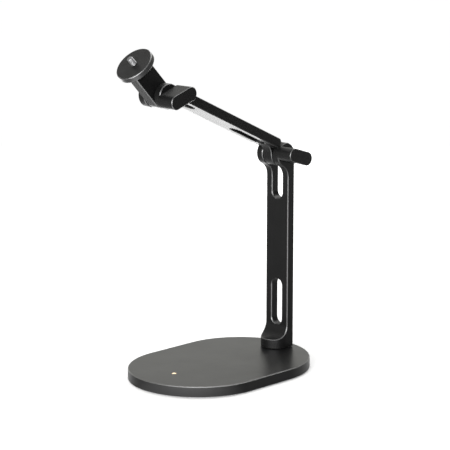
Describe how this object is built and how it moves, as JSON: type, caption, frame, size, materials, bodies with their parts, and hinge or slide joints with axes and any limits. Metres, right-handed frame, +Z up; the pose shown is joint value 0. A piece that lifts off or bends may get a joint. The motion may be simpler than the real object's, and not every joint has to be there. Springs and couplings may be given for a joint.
{
  "type": "desktop camera stand",
  "caption": "Black folding desktop camera stand: rounded base plate, slotted post and arm, wing-knob hinges, and a tilting round plate with a camera stud.",
  "frame": {"origin": "on the table, under the middle of the base plate", "axes": "+Z up, -Y towards the front where the arm reaches, +X towards the wing knobs"},
  "size_m": [0.15, 0.2388, 0.3525],
  "materials": {
    "black_anodised_base": "satin black anodised, fine bead-blasted",
    "black_anodised": "satin black anodised",
    "pad_rubber": "matt anti-slip rubber",
    "plate_pad_rubber": "matt thin rubber",
    "copper_marker": "pale copper-coloured",
    "steel": "plain steel",
    "bright_steel": "bright turned steel",
    "nylon": "black nylon"
  },
  "bodies": {
    "stand": {"base_plate": "black_anodised_base", "base_pad": "pad_rubber", "base_marker": "copper_marker", "post": "black_anodised", "post_screw_1": "steel", "post_screw_2": "steel", "post_screw_3": "steel", "shoulder_nut": "steel", "shoulder_washer_left": "nylon", "shoulder_washer_right": "nylon"},
    "shoulder_clamp": {"shoulder_knob": "black_anodised", "shoulder_bolt": "steel", "shoulder_thrust_washer": "steel"},
    "folding_arm": {"arm": "black_anodised", "head_nut": "steel", "head_washer_left": "nylon", "head_washer_right": "nylon"},
    "head_clamp": {"head_knob": "black_anodised", "head_bolt": "steel", "head_thrust_washer": "steel"},
    "tilting_head": {"head_bracket": "black_anodised", "swivel_set_screw": "steel", "swivel_washer": "nylon"},
    "camera_mount": {"camera_plate": "black_anodised", "camera_plate_pad": "plate_pad_rubber", "camera_stud": "bright_steel"}
  },
  "joints": [
    {"name": "shoulder_tilt", "type": "hinge", "parent": "stand", "child": "folding_arm", "pos_m": [0, 0.0846, 0.2269], "axis": [1, 0, 0], "range_deg": [-153, 82]},
    {"name": "shoulder_knob_turn", "type": "hinge", "parent": "stand", "child": "shoulder_clamp", "pos_m": [0.016, 0.0846, 0.2269], "axis": [1, 0, 0], "continuous": true},
    {"name": "head_tilt", "type": "hinge", "parent": "folding_arm", "child": "tilting_head", "pos_m": [0, -0.08606, 0.30504], "axis": [1, 0, 0], "range_deg": [-115, 177]},
    {"name": "head_knob_turn", "type": "hinge", "parent": "folding_arm", "child": "head_clamp", "pos_m": [0.016, -0.08606, 0.30504], "axis": [1, 0, 0], "continuous": true},
    {"name": "camera_plate_swivel", "type": "hinge", "parent": "tilting_head", "child": "camera_mount", "pos_m": [0, -0.11865, 0.3389], "axis": [0, -0.6934, 0.7206], "continuous": true}
  ]
}
